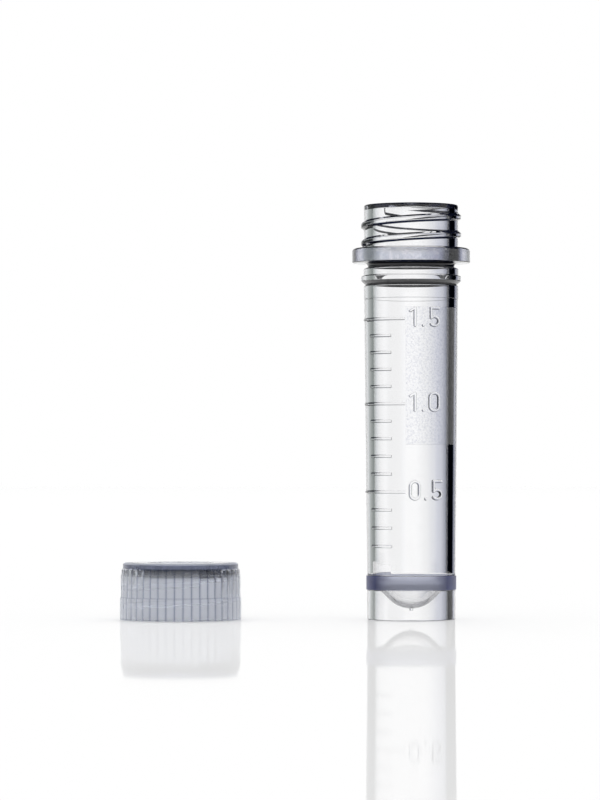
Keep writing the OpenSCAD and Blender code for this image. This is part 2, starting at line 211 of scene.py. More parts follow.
class CryovialCapSizes(bpy.types.PropertyGroup):
    """Sizes of the cap and of its sealing ring"""

    middle: length("Cap place", "Place of the cap's axis along X", (CAP_LOW.x + CAP_HIGH.x) / 2 / MM)
    height: length("Height", "Height of the cap", CAP_HIGH.z / MM)
    gap: length("Cap gap", "Gap between the closed cap and the flange", 0.2)
    wall: length("Wall", "Wall of the cap behind its thread", 0.69)
    crest: length("Thread crest", "Height of the cap's thread at its crest", 0.45)
    thread_foot: length("Thread foot", "Height of the cap's thread at its root", 0.7)
    clear: length("Thread clearance", "Radial clearance between the two threads", 0.17)
    play: length("Thread play", "Clearance between the bearing flanks of the closed cap", 0.12)
    top_round: length("Top rounding", "Rounding of the cap's top edge", 0.3)
    entry: length("Entry", "Chamfer at the cap's open end", 0.2)
    ribs: IntProperty(name="Ribs", description="Ribs round the cap", default=44)
    rib_depth: length("Rib depth", "Depth of the grooves between the ribs", 0.13)
    tier: length("Tier", "Height of the wide tier at the open end", 2.43)
    tier_step: length("Tier step", "How far each tier stands proud of the one above it", 0.08)
    fine_step_drop: length("Fine step", "Distance from the top down to the fine step", 1.3)
    rib_drop: length("Rib ends", "Distance from the top down to the ends of the ribs", 0.65)
    edge_in: length("Smooth edge", "How far the smooth edge lies inside the ribs' grooves", 0.03)
    pocket: length("Pocket", "Radius of the pocket in the top", 3.7)
    pocket_depth: length("Pocket depth", "Depth of the pocket", 1.3)
    lugs: IntProperty(name="Lugs", description="Lugs round the pocket", default=6)
    lug_wide: length("Lug width", "Width of a lug", 1.55)
    lug_reach: length("Lug reach", "How far a lug reaches into the pocket", 0.4)
    lug_turn: angle("Lug direction", "Direction of a lug's middle", 24)
    plug_reach: length("Plug", "How far the plug of the closed cap reaches below the rim", 0.38)
    plug_clear: length("Plug clearance", "Radial clearance between the plug and the mouth", 0.17)
    shoulder_gap: length("Shoulder gap", "Gap between the rim and the shoulder", 0.05)
    ring: length("Ring", "Thickness of the sealing ring", 0.95)
    ring_bore: length("Ring bore", "Radius of the sealing ring's bore", 4.525)
    # The milky rim is matt, and it takes painted shade too
    rim_blur: length("Milky rim", "How far the milky rim of the top reaches over the sealing ring", 0.25)
    rim_fade: length("Milky rim's edge", "How wide the inner edge of that rim fades", 0.6)
    ring_play: length("Ring play", "Clearance round the seated ring", 0.02)


class CryovialFinishes(bpy.types.PropertyGroup):
    """Colours of the three materials"""

    clear: tint("Clear plastic", "Colour of the tube's polypropylene", "ffffff")
    specks: tint("Specks", "Colour of the grain on the tube's matt faces", "d8dbe4")
    # Painted shade: near-black colour painted on the inside corners under the flange and the bead
    corners: tint("Inside corners", "Colour of the corners that throw light back into the wall", "020308")
    depth: tint("Depth of the clear plastic", "Colour that a thick wall of the tube takes", "848ab0")
    band: tint("Foot band", "Colour of the tube's matt foot band", "b4b9d0")
    # Partly the band's own tint, partly painted shade: the dark navy that the foot band takes where it is
    # seen at a slant
    band_slant_tint_and_shade: tint("Foot band, at a slant", "Colour of that band when looked at along its skin", "3c4480")
    milky: tint("Translucent plastic", "Colour of the cap's polypropylene", "f4f6fb")
    # Painted shade: colour painted in the grooves between the cap's ribs, on its rim and along its edges
    grooves: tint("Grooves", "Colour in the grooves between the cap's ribs", "58628a")
    haze: tint("Depth of the translucent plastic", "Colour that a thick wall of the cap takes", "8095b4")
    rubber: tint("Rubber", "Colour of the sealing ring", "101e36")


class CryovialStudio(bpy.types.PropertyGroup):
    """The camera, the light, the floor and the screen"""

    aside: length("Camera aside", "Place of the camera along X", -12.3)
    away: length("Camera distance", "Distance of the camera from the tube's axis", 427)
    up: length("Camera height", "Height of the camera above the floor", 16.2)
    pitch: angle("Camera pitch", "How far the camera looks up", 1.08)
    lens: FloatProperty(name="Lens", description="Focal length on a 36 mm sensor, in mm", default=173.7)
    sky: FloatProperty(name="Sky", description="Strength of the light from all round", default=0.75)
    sun: FloatProperty(name="Sun", description="Share of the light that comes from above", default=0.25)
    sun_back: angle("Sun behind", "How far that light leans to the back", 35)
    sun_wide: angle("Sun width", "How wide that light is", 40)
    floor: length("Floor", "Radius of the floor", 4000)
    floor_drop: length("Floor drop", "How far the floor lies under the pieces", 0.01)
    wrap: length("Wrap", "Radius of the screen round the set", 150)
    wrap_height: length("Wrap height", "Height of that screen", 160)
    wrap_lit: length("Lit height", "Height of its lit part", 72)
    wrap_open: angle("Wrap ends", "How far the screen comes round to the front at each side", 75)


def in_mm(group):
    """The values of a group, with its lengths in millimetres."""
    values = {}
    for key in group.bl_rna.properties.keys():
        if key in ("rna_type", "name"):
            continue
        scale = MM if group.bl_rna.properties[key].unit == "LENGTH" else 1
        value = getattr(group, key)
        values[key] = value if isinstance(value, int) else value / scale
    return SimpleNamespace(**values)


# ---------------------------------------------------------------------------
# Modelling
# ---------------------------------------------------------------------------


def outline(bm, points, closed=True):
    """Draws a wall's outline in the XZ plane. A third number rounds that corner."""
    verts = [bm.verts.new((p[0], 0, p[1])) for p in points]
    for a, b in zip(verts, verts[1:]):
        bm.edges.new((a, b))
    if closed:
        bm.edges.new((verts[-1], verts[0]))
    radii = sorted({p[2] for p in points if len(p) > 2})
    groups = [[v for v, p in zip(verts, points) if len(p) > 2 and p[2] == r] for r in radii]
    for r, corners in zip(radii, groups):
        bmesh.ops.bevel(
            bm, geom=corners, offset=r, offset_type="OFFSET", segments=CORNER_STEPS,
            profile=0.5, affect="VERTICES", material=-1, clamp_overlap=True,
        )


def turned(bm, steps=ROUND_STEPS):
    """Turns what is drawn a full turn about Z and closes it."""
    bmesh.ops.spin(
        bm, geom=bm.verts[:] + bm.edges[:], cent=(0, 0, 0), axis=AXIS,
        angle=math.tau, steps=steps, use_merge=True, use_duplicate=False,
    )
    close_up(bm)


def swung(bm, turn):
    """Turns what is drawn about Z by an angle."""
    bmesh.ops.rotate(bm, verts=bm.verts[:], cent=(0, 0, 0), matrix=Matrix.Rotation(turn, 3, "Z"))


def in_metres(bm):
    """Scales what is drawn from millimetres to metres."""
    bmesh.ops.scale(bm, verts=bm.verts[:], vec=(MM, MM, MM))


def round_section(bm, r, z, radius, segments):
    """Draws a round section, at a distance from the axis and a height."""
    upright = Matrix.Rotation(math.pi / 2, 4, "X")
    bmesh.ops.create_circle(
        bm, cap_ends=False, segments=segments, radius=radius, matrix=Matrix.Translation((r, 0, z)) @ upright,
    )


def drawn_on(bm, vert, x, z, turn):
    """Draws a wall's outline on from its end, along an arc about a centre, and gives the arc's own end."""
    return bmesh.ops.spin(
        bm, geom=[vert], cent=(x, 0, z), axis=(0, 1, 0), angle=turn, steps=ARC_STEPS, use_duplicate=False,
    )["geom_last"][0]


def part_turned(bm, start, end, step, rise=0.0):
    """Turns what is drawn about Z from one angle to another, in steps of so many degrees, and leaves it open.
    It may rise on the way.
    """
    swung(bm, start)
    steps = round(math.degrees(end - start) / step)
    bmesh.ops.spin(
        bm, geom=bm.verts[:] + bm.edges[:], cent=(0, 0, 0), axis=AXIS, dvec=(0, 0, rise / steps),
        angle=end - start, steps=steps, use_merge=False, use_duplicate=False,
    )


def swept(bm, start, end, step, rise=0.0):
    """Sweeps a drawn section about Z as part_turned does, and closes its ends."""
    part_turned(bm, start, end, step, rise)
    bmesh.ops.holes_fill(bm, edges=[e for e in bm.edges if e.is_boundary], sides=0)
    close_up(bm)


def close_up(bm):
    """Merges doubles, drops slivers and turns the faces outwards."""
    bmesh.ops.remove_doubles(bm, verts=bm.verts[:], dist=1e-4)
    bmesh.ops.dissolve_degenerate(bm, edges=bm.edges[:], dist=1e-5)
    bmesh.ops.recalc_face_normals(bm, faces=bm.faces[:])


def as_object(bm, name):
    """An object with the bmesh as its mesh."""
    mesh = bpy.data.meshes.new(name)
    bm.to_mesh(mesh)
    bm.free()
    obj = bpy.data.objects.new(name, mesh)
    bpy.context.collection.objects.link(obj)
    return obj


def joined(base, parts):
    """Merges parts into the base, so that one closed skin is left."""
    for part in parts:
        step = base.modifiers.new("join", "BOOLEAN")
        step.solver = "MANIFOLD"
        step.operation = "UNION"
        step.object = part
    graph = bpy.context.evaluated_depsgraph_get()
    result = bpy.data.meshes.new_from_object(base.evaluated_get(graph))
    base.modifiers.clear()
    old = base.data
    base.data = result
    bpy.data.meshes.remove(old)
    for part in parts:
        mesh = part.data
        bpy.data.objects.remove(part)
        bpy.data.meshes.remove(mesh)


def placed(obj, x, body, node, material):
    """Finishes a piece: crisp edges, real size and place, material, and the body that it moves with."""
    bm = bmesh.new()
    bm.from_mesh(obj.data)
    for face in bm.faces:
        face.smooth = True
    for edge in bm.edges:
        edge.smooth = edge.calc_face_angle(math.pi) < CRISP
    bmesh.ops.translate(bm, verts=bm.verts[:], vec=(x, 0, 0))
    in_metres(bm)
    bm.to_mesh(obj.data)
    bm.free()
    obj.data.materials.clear()
    obj.data.materials.append(material)
    even = obj.modifiers.new("even shading", "WEIGHTED_NORMAL")
    even.keep_sharp = True
    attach(obj, body)
    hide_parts(node)


# ---------------------------------------------------------------------------
# Tube
# ---------------------------------------------------------------------------


def tube_wall(t):
    """Heights and radii that the tube's parts share, in millimetres."""
    w = SimpleNamespace()
    w.neck_r = t.mouth + t.neck_wall
    w.low_r = t.bore_low + t.low_wall
    w.band_top = t.skirt + t.band
    w.flange_top = t.height - t.neck
    w.flange_z = w.flange_top - t.flange_thick
    w.groove_end = w.flange_z - t.flange_groove_run
    w.bead_top = w.flange_z - t.bead_drop
    w.bead_z = w.bead_top - t.bead
    w.bead_groove_z = w.bead_z - t.bead_groove_drop
    w.thread_z = w.flange_top + t.thread_gap

    def body(z):
        return w.low_r + (w.neck_r - w.low_r) * (z - w.band_top) / (w.flange_z - w.band_top)

    w.body = body
    return w


def tube_skin(t, w):
    """The tube's own wall: body, foot, neck, flange and the cone under the bore."""
    skirt_in = w.low_r - t.skirt_wall
    band_r = w.low_r + t.band_proud
    sleeve_z = w.flange_z - t.sleeve
    sleeve_slope = 0.03

    def sleeve(z):
        return w.body(z) + t.sleeve_proud

    tip_z = t.tip_clear + t.floor + t.tip
    out = t.tip + t.floor
    slope_s, slope_c = math.sin(t.cone), math.cos(t.cone)
    tip_r, tip_low = t.tip * slope_s, tip_z - t.tip * slope_c
    knee_r = t.bore_low - t.knee + t.knee * slope_s
    knee_z = tip_low + (knee_r - tip_r) * slope_s / slope_c + t.knee * slope_c
    cone_r = out * slope_s + (t.skirt - tip_z + out * slope_c) * slope_c / slope_s

    bm = bmesh.new()
    outline(
        bm,
        [
            (skirt_in, 0, t.edge),
            (w.low_r, 0, t.edge),
            (w.low_r, t.skirt, TIGHT),
            (band_r, t.skirt, EASED),
            (band_r, w.band_top, EASED),
            (w.low_r, w.band_top, TIGHT),
            (w.body(sleeve_z), sleeve_z),
            (sleeve(sleeve_z), sleeve_z + sleeve_slope),
            (sleeve(w.bead_groove_z), w.bead_groove_z - t.bead_groove, EASED),
            (sleeve(w.bead_groove_z) - t.bead_groove, w.bead_groove_z, EASED),
            (sleeve(w.bead_z) + t.bead_proud, w.bead_z + t.bead_bevel, BLUNT),
            (sleeve(w.bead_top) + t.bead_proud, w.bead_top, SOFT),
            (sleeve(w.bead_top), w.bead_top, MILD),
            (sleeve(w.flange_z), w.groove_end, EASED),
            (w.neck_r - t.flange_groove, w.groove_end + t.flange_slope, KEEN),
            (w.neck_r - t.flange_groove, w.flange_z, t.flange_fillet),
            (t.flange, w.flange_z, SOFT),
            (t.flange, w.flange_top, t.flange_round),
            (w.neck_r, w.flange_top, MILD),
            (w.neck_r, t.height, t.edge),
            (t.mouth + t.lead_in, t.height, TIGHT),
            (t.mouth, t.height - t.lead_in, EASED),
            (t.mouth, t.height - t.mouth_land),
            (t.bore_low, knee_z),
        ],
        closed=False,
    )
    loose = [v for v in bm.verts if len(v.link_edges) == 1]
    bore_end = max(loose, key=lambda v: v.co.z)
    # The knee and the tip of the bore are arcs, and so is the tip under them
    knee = drawn_on(bm, bore_end, t.bore_low - t.knee, knee_z, math.pi / 2 - t.cone)
    tip_start = bm.verts.new((tip_r, 0, tip_low))
    bm.edges.new((knee, tip_start))
    drawn_on(bm, tip_start, 0, tip_z, t.cone)
    out_start = bm.verts.new((0, 0, tip_z - out))
    out_end = drawn_on(bm, out_start, 0, tip_z, -t.cone)
    cone_end = bm.verts.new((cone_r, 0, t.skirt))
    skirt_top = bm.verts.new((skirt_in, 0, t.skirt))
    skirt_start = min((v for v in loose if v.is_valid and v is not bore_end), key=lambda v: v.co.z)
    bm.edges.new((out_end, cone_end))
    bm.edges.new((cone_end, skirt_top))
    bm.edges.new((skirt_top, skirt_start))
    turned(bm)
    return as_object(bm, "moulded_tube")


def tube_thread(t, w):
    """The outside thread, with two sloping flanks and a rounded crest."""
    bm = bmesh.new()
    crest_r = w.neck_r + t.thread_depth
    low_round = 0.09
    outline(
        bm,
        [
            (w.neck_r - ROOT, w.thread_z),
            (w.neck_r, w.thread_z),
            (crest_r, w.thread_z + t.flank, low_round),
            (crest_r, w.thread_z + t.flank + t.crest, SOFT),
            (w.neck_r, w.thread_z + t.thread_foot),
            (w.neck_r - ROOT, w.thread_z + t.thread_foot),
        ],
    )
    turn = math.tau * t.turns
    swept(bm, t.thread_start, t.thread_start + turn, THREAD_STEP, t.lead * t.turns)
    return as_object(bm, "thread")


def gate_mark(t):
    """The cut stub of the gate under the tip."""
    bm = bmesh.new()
    top = t.tip_clear + t.floor / 2
    low = t.tip_clear - t.gate_height
    outline(bm, [(0, low), (t.gate, low, EASED), (t.gate, top), (0, top)], closed=False)
    turned(bm)
    return as_object(bm, "gate")


def mark_height(m, tenths):
    """Height of a graduation, counted in tenths of a millilitre."""
    n = tenths / HALF - 1
    return m.first_half + n * m.half_rise - n * (n - 1) / 2 * m.rise_loss


def from_front(turn):
    """The direction about Z of an angle that is counted from the front."""
    return turn - math.pi / 2


def graduation(m, w, tenths):
    """One line: a low bead round part of the body."""
    is_long = tenths % HALF == 0
    start, end = (m.long_from, m.long_to) if is_long else (m.short_from, m.short_to)
    z = mark_height(m, tenths)
    bm = bmesh.new()
    round_section(bm, w.body(z) + m.line_proud - m.line, z, m.line, segments=20)
    swept(bm, from_front(start), from_front(end), LINE_STEP)
    return as_object(bm, "line")


def marking_panel(m, w):
    """The low field for writing on, beside the graduations."""
    low, high = m.panel_low, m.panel_low + m.panel
    bm = bmesh.new()
    outline(
        bm,
        [
            (w.body(low) - ROOT, low),
            (w.body(low) + m.panel_proud, low, KEEN),
            (w.body(high) + m.panel_proud, high, KEEN),
            (w.body(high) - ROOT, high),
        ],
    )
    swept(bm, from_front(m.panel_from), from_front(m.panel_to), PANEL_STEP)
    return as_object(bm, "panel")


def arc(x, y, radius, start, end, steps=14):
    """Points along an arc, drawn flat, between two angles in degrees."""
    turn = math.radians(end - start) / steps
    first = math.radians(start)
    return [
        (x + radius * math.cos(first + turn * i), y + radius * math.sin(first + turn * i))
        for i in range(steps + 1)
    ]


def digit_strokes(m, digit):
    """The middle lines of a digit's strokes, drawn flat from its lower left corner."""
    half = m.stroke / 2
    wide, high = m.digit_wide - half, m.digit - half
    if digit == "0":
        r = (wide - half) / 2
        middle = m.digit_wide / 2
        return [arc(middle, high - r, r, 0, 180) + arc(middle, half + r, r, 180, 360) + [(wide, high - r)]]
    if digit == "1":
        # The stem stands two thirds of the way across, and its flag drops by half of that
        stem = (m.digit_wide - m.stroke) * 2 / 3
        return [[(half, high - stem / 2), (stem, high)], [(stem, high), (stem, half)]]
    if digit == "5":
        r = (m.digit_wide - m.stroke) / 2
        bowl = arc(wide - r, half + r, r, 135, -135)
        return [[(m.stroke, high), (wide, high)], [(m.stroke, high), bowl[0]], bowl]
    # The point is a stroke of next to no length
    return [[(half, half), (half, half + 10 * NEAR)]]


def dense(path, step=0.1):
    """The path with a point at least every step."""
    out = []
    for (ax, ay), (bx, by) in zip(path, path[1:]):
        n = max(1, math.ceil(math.hypot(bx - ax, by - ay) / step))
        out += [(ax + (bx - ax) * i / n, ay + (by - ay) * i / n) for i in range(n)]
    return out + [path[-1]]


def with_round_ends(points, path, radius):
    """The points of an open stroke, each with its share of the stroke's thickness. The stroke goes on past
    both ends of its path, along a quarter turn in radians, and closes almost to a point.
    """
    for near, at in ((path[1], path[0]), (path[-2], path[-1])):
        run = Vector(at) - Vector(near)
        run.normalize()
        tips = []
        for turn in (0.4, 0.75, 1.05, 1.3, 1.5):
            tip = Vector(at) + run * radius * math.sin(turn)
            tips.append((tip.x, tip.y, math.cos(turn)))
        points = tips[::-1] + points if at == path[0] else points + tips
    return points


def bead(m, w, path, x, z):
    """A round bead along a flat path, laid on the curved wall with its lower half inside it."""
    radius = m.stroke_bead
    ring = math.dist(path[0], path[-1]) < NEAR
    points = [(px, py, 1.0) for px, py in (dense(path)[:-1] if ring else dense(path))]
    if not ring:
        points = with_round_ends(points, path, radius)
    curve = bpy.data.curves.new("stroke", "CURVE")
    curve.dimensions = "3D"
    curve.bevel_depth = radius
    curve.bevel_resolution = 4
    curve.use_fill_caps = True
    spline = curve.splines.new("POLY")
    spline.points.add(len(points) - 1)
    for point, (px, py, thick) in zip(spline.points, points):
        point.co = (px + x, 0, py + z, 1)
        point.radius = thick
    spline.use_cyclic_u = ring
    rod = bpy.data.objects.new("stroke", curve)
    mesh = bpy.data.meshes.new_from_object(rod)
    bm = bmesh.new()
    bm.from_mesh(mesh)
    close_up(bm)
    lift = m.panel_proud + m.digit_proud - radius
    for v in bm.verts:
        r = w.body(v.co.z)
        side = math.asin(v.co.x / r)
        out = r + lift - v.co.y
        v.co.x, v.co.y = out * math.sin(side), -out * math.cos(side)
    bpy.data.objects.remove(rod)
    bpy.data.curves.remove(curve)
    bpy.data.meshes.remove(mesh)
    bmesh.ops.recalc_face_normals(bm, faces=bm.faces[:])
    return as_object(bm, "stroke")


def number(m, w, half_millilitres):
    """The beads of a number such as 1.5, to the right of its line."""
    text = f"{half_millilitres / 2:.1f}"
    x = m.label
    z = mark_height(m, HALF * half_millilitres) + m.label_lift - m.digit / 2
    parts = []
    for sign in text:
        parts += [bead(m, w, path, x, z) for path in digit_strokes(m, sign)]
        wide = {".": m.stroke, "1": m.digit_wide - m.stroke}.get(sign, m.digit_wide)
        x += wide + m.digit_gap
    return parts


class CRYOVIAL_OT_tube(bpy.types.Operator):
    """Model the tube with its thread, graduations, numbers and marking panel"""

    bl_idname = "cryovial.tube"
    bl_label = "Tube"

    def execute(self, context):
        scene = context.scene
        t = in_mm(scene.cryovial_tube)
        m = in_mm(scene.cryovial_marks)
        w = tube_wall(t)
        tube = tube_skin(t, w)
        parts = [tube_thread(t, w), gate_mark(t), marking_panel(m, w)]
        parts += [graduation(m, w, tenths) for tenths in range(m.first_mark, NUMBERS * HALF + 1)]
        for half_millilitres in range(1, NUMBERS + 1):
            parts += number(m, w, half_millilitres)
        joined(tube, parts)
        mark_tube(tube.data, t, m, w)
        placed(tube, 0, "tube", "tube", clear_plastic(scene.cryovial_finishes))
        return {"FINISHED"}


def painted_corner_shades(t, w):
    """The faces under the flange and the bead that throw light back into the wall, and so get painted shade,
    each with its lower and upper height and how dark it is painted and how little light it lets through.
    """
    flange_corner = w.groove_end + t.flange_slope
    bead_corner = w.bead_groove_z + EASED
    return (
        (w.groove_end + 10 * NEAR, flange_corner, 0.95),
        (flange_corner, w.flange_z - 0.2 * t.flange_fillet, 1.0),
        (w.bead_groove_z - t.bead_groove, bead_corner, 0.96),
        (bead_corner, w.bead_z + t.bead_bevel, 0.94),
    )


def mark_tube(mesh, t, m, w):
    """Marks the faces that the mould left matt: the marking panel, the flange's edge and the foot band. It
    marks the inside corners too, which get painted shade.
    """
    matt = mesh.attributes.new(MATT, "FLOAT", "FACE")
    corner = mesh.attributes.new(PAINTED_CORNER_SHADE, "FLOAT", "FACE")
    corners = painted_corner_shades(t, w)
    # The painted shade of the corners lies between the bottom of the flange's groove and this far inside the
    # flange's edge
    overhang = 0.9
    corner_in, corner_out = w.neck_r - t.flange_groove - TOUCH, t.flange - overhang
    # A face that looks up or down by more than this lies level, and is left as it is
    level = 0.5
    for face in mesh.polygons:
        x, y, z = face.center
        r = math.hypot(x, y)
        if corner_in < r < corner_out:
            for low, high, share in corners:
                if low < z < high:
                    corner.data[face.index].value = share
        if abs(face.normal.z) > level:
            continue
        on_panel = (
            m.panel_low < z < m.panel_low + m.panel
            and m.panel_from < math.atan2(x, -y) < m.panel_to
            and w.body(z) + m.panel_proud / 2 < r < w.body(z) + m.panel_proud * 1.3
        )
        on_flange = r > t.flange - TOUCH and w.flange_z < z < w.flange_top
        on_band = r > w.low_r + t.band_proud - TOUCH and t.skirt < z < w.band_top
        matt.data[face.index].value = PANEL_MATT * on_panel + FLANGE_MATT * on_flange + BAND_MATT * on_band


# ---------------------------------------------------------------------------
# Cap and sealing ring
# ---------------------------------------------------------------------------


def cap_wall(c, t, w):
    """Heights and radii that the cap's parts share, in millimetres, from the cap's open end."""
    k = SimpleNamespace()
    k.closed_z = w.flange_top + c.gap
    k.rim_z = t.height - k.closed_z
    k.ceiling_z = k.rim_z + c.ring + c.ring_play
    k.bore_r = w.neck_r + t.thread_depth + c.clear
    k.root_r = k.bore_r + c.wall
    k.grip_r = k.root_r + c.rib_depth
    k.rib_end_z = c.height - c.rib_drop
    k.bevel_z = k.rib_end_z - c.rib_depth
    k.milky_r = c.ring_bore + c.ring - c.rim_blur
    k.shoulder_r = c.ring_bore - c.ring_play
    k.ring_z = k.ceiling_z - c.ring_play - c.ring / 2
    return k


def groove_share(c, x, y):
    """How far round a point lies, from 0 in the middle of a rib to 1 in the middle of a groove beside it."""
    share = (math.atan2(y, x) / math.tau * c.ribs + 0.5) % 1 - 0.5
    return abs(2 * share)


def cap_skin(c, t, k):
    """The cap's own wall: ribbed grip, top with its pocket, bore, shoulder and plug."""
    edge_r = k.root_r - c.edge_in
    fine_z = c.height - c.fine_step_drop
    plug_r = t.mouth - c.plug_clear
    middle_r = k.grip_r + c.tier_step
    wide_r = k.grip_r + 2 * c.tier_step
    shoulder_z = k.rim_z + c.shoulder_gap
    # Height over which the painted shade line above the wide tier fades
    tier_fade = 0.12
    bevels = [c.rib_depth * i / BEVEL_STEPS for i in range(BEVEL_STEPS + 1)]
    bm = bmesh.new()
    outline(
        bm,
        [
            (0, c.height - c.pocket_depth),
            (c.pocket, c.height - c.pocket_depth, SOFT),
            (c.pocket, c.height, MILD),
            (k.milky_r, c.height),
            (k.milky_r + c.rim_fade, c.height),
            (edge_r, c.height, c.top_round),
            (edge_r, k.rib_end_z + c.edge_in),
            *((k.root_r + bevel, k.rib_end_z - bevel) for bevel in bevels),
            (k.grip_r, fine_z),
            (middle_r, fine_z, KEEN),
            (middle_r, c.tier + tier_fade),
            (middle_r, c.tier),
            (wide_r, c.tier, KEEN),
            (wide_r, 0, BLUNT),
            (k.bore_r + c.entry, 0),
            (k.bore_r, c.entry),
            (k.bore_r, k.ceiling_z, FULL),
            (k.shoulder_r, k.ceiling_z, FULL),
            (k.shoulder_r, shoulder_z, EASED),
            (plug_r, shoulder_z, EASED),
            (plug_r, k.rim_z - c.plug_reach, t.edge),
            (0, k.rim_z - c.plug_reach),
        ],
        closed=False,
    )
    turned(bm, c.ribs * RIB_STEPS)
    # The outside is drawn in to the grooves, which run out in the bevel at the ribs' ends
    for v in bm.verts:
        r = math.hypot(v.co.x, v.co.y)
        if r < k.root_r + NEAR:
            continue
        groove = c.rib_depth * groove_share(c, v.co.x, v.co.y) ** 3
        ribbed = min(r, k.grip_r - groove) if v.co.z > k.bevel_z - NEAR else r - groove
        v.co.x *= ribbed / r
        v.co.y *= ribbed / r
    return as_object(bm, "screw_cap")


def cap_thread(c, t, w, k):
    """The cap's inside thread: the tube's helix when the cap is closed, lowered by the play."""
    z = c.entry + t.thread_gap + c.thread_foot
    turns = (k.rim_z - t.edge - t.thread_gap - z) / t.lead
    start = t.thread_start + math.tau * (k.closed_z + z + c.play - w.thread_z) / t.lead
    crest_r = w.neck_r + c.clear
    sunk = c.thread_foot + (c.thread_foot - c.crest) * ROOT / t.thread_depth
    bm = bmesh.new()
    outline(
        bm,
        [
            (k.bore_r + ROOT, z),
            (crest_r, z, MILD),
            (crest_r, z - c.crest, SOFT),
            (k.bore_r + ROOT, z - sunk),
        ],
    )
    turn = math.tau * turns
    swept(bm, start, start + turn, THREAD_STEP, t.lead * turns)
    return as_object(bm, "cap thread")


def lug(c, index):
    """One of the lugs round the pocket, with eased edges, a hair lower than the top."""
    sink, hair, ease = 0.2, 0.01, 0.07
    low, high = c.height - c.pocket_depth - sink, c.height - hair
    inner, outer = c.pocket - c.lug_reach, c.pocket + ROOT
    bm = bmesh.new()
    bmesh.ops.create_cube(bm, size=1)
    bmesh.ops.scale(bm, verts=bm.verts[:], vec=(outer - inner, c.lug_wide, high - low))
    bmesh.ops.translate(bm, verts=bm.verts[:], vec=((inner + outer) / 2, 0, (low + high) / 2))
    bmesh.ops.bevel(
        bm, geom=bm.edges[:], offset=ease, offset_type="OFFSET", segments=3,
        profile=0.5, affect="EDGES", material=-1, clamp_overlap=True,
    )
    swung(bm, c.lug_turn + math.tau * index / c.lugs)
    return as_object(bm, "lug")


class CRYOVIAL_OT_cap(bpy.types.Operator):
    """Model the cap with its ribs, pocket, plug and thread"""

    bl_idname = "cryovial.cap"
    bl_label = "Cap"

    def execute(self, context):
        scene = context.scene
        c, t = in_mm(scene.cryovial_cap), in_mm(scene.cryovial_tube)
        w = tube_wall(t)
        k = cap_wall(c, t, w)
        cap = cap_skin(c, t, k)
        joined(cap, [cap_thread(c, t, w, k)] + [lug(c, i) for i in range(c.lugs)])
        mark_cap(cap.data, c, k)
        placed(cap, c.middle, "cap", "cap", translucent_plastic(scene.cryovial_finishes))
        return {"FINISHED"}


def mark_cap(mesh, c, k):
    """Marks how matt the inside of the cap, its rim, the smooth edge below that and the pocket's wall are. It
    marks the painted shade of the outside too: deepest in the grooves between the ribs, and in part on that
    edge, the rim and the corner over the wide tier.
    """
    inside, rim, smooth_edge, pocket_wall = 1.0, 1.0, 0.25, 0.4
    # Painted shade on the rim, on the smooth edge below it and along the corner over the wide tier
    rim_painted_shade, edge_painted_shade, tier_painted_shade = 0.45, 0.95, 0.7
    # The pocket's wall begins this far above its floor
    wall_foot = 0.05
    matt = mesh.attributes.new(MATT, "FLOAT", "POINT")
    groove = mesh.attributes.new(PAINTED_GROOVE_SHADE, "FLOAT", "POINT")
    for v in mesh.vertices:
        x, y, z = v.co
        r = math.hypot(x, y)
        if r < k.bore_r + TOUCH and z < k.rim_z + 2 * c.shoulder_gap:
            matt.data[v.index].value = inside
        if r > k.milky_r + NEAR and z > k.rib_end_z:
            on_top = z > c.height - c.top_round / 2
            matt.data[v.index].value = rim if on_top else smooth_edge
            groove.data[v.index].value = rim_painted_shade if on_top else edge_painted_shade
        if r < c.pocket + TOUCH and z > c.height - c.pocket_depth + wall_foot:
            matt.data[v.index].value = pocket_wall
        if r > k.root_r - NEAR and z <= k.rib_end_z:
            # Painted shade, deepest in the middle of each groove and along the corner over the wide tier
            corner = tier_painted_shade * (abs(z - c.tier) < 10 * NEAR)
            groove.data[v.index].value = max(groove_share(c, x, y) ** 5, corner)


class CRYOVIAL_OT_seal_ring(bpy.types.Operator):
    """Model the rubber ring under the cap's top"""

    bl_idname = "cryovial.seal_ring"
    bl_label = "Sealing ring"

    def execute(self, context):
        scene = context.scene
        c, t = in_mm(scene.cryovial_cap), in_mm(scene.cryovial_tube)
        k = cap_wall(c, t, tube_wall(t))
        bm = bmesh.new()
        round_section(bm, c.ring_bore + c.ring / 2, k.ring_z, c.ring / 2, segments=32)
        turned(bm)
        ring = as_object(bm, "rubber_ring")
        placed(ring, c.middle, "cap", "seal_ring", rubber(scene.cryovial_finishes))
        return {"FINISHED"}


# ---------------------------------------------------------------------------
# Materials
# ---------------------------------------------------------------------------

WHITE = linear("ffffff")
PLASTIC_IOR = 1.49
RUBBER_IOR = 1.52
# Numbers of the two colours among a colour mix's inputs, and of the two numbers among a number mix's
COLOUR_A, COLOUR_B = 6, 7
NUMBER_A, NUMBER_B = 2, 3


def add_node(tree, kind, inputs=None, **settings):
    """Adds a shader node, sets it up, and fills or links its inputs by name or number. A node that is given
    as a value means its first output in use.
    """
    node = tree.nodes.new("ShaderNode" + kind)
    for key, value in settings.items():
        setattr(node, key, value)
    for key, value in (inputs or {}).items():
        if isinstance(value, bpy.types.Node):
            value = next(output for output in value.outputs if output.enabled)
        if isinstance(value, bpy.types.NodeSocket):
            tree.links.new(value, node.inputs[key])
        else:
            node.inputs[key].default_value = value
    return node


def new_material(name):
    """A material without nodes, and its node tree."""
    material = bpy.data.materials.new(name)
    material.use_nodes = True
    material.node_tree.nodes.clear()
    return material, material.node_tree


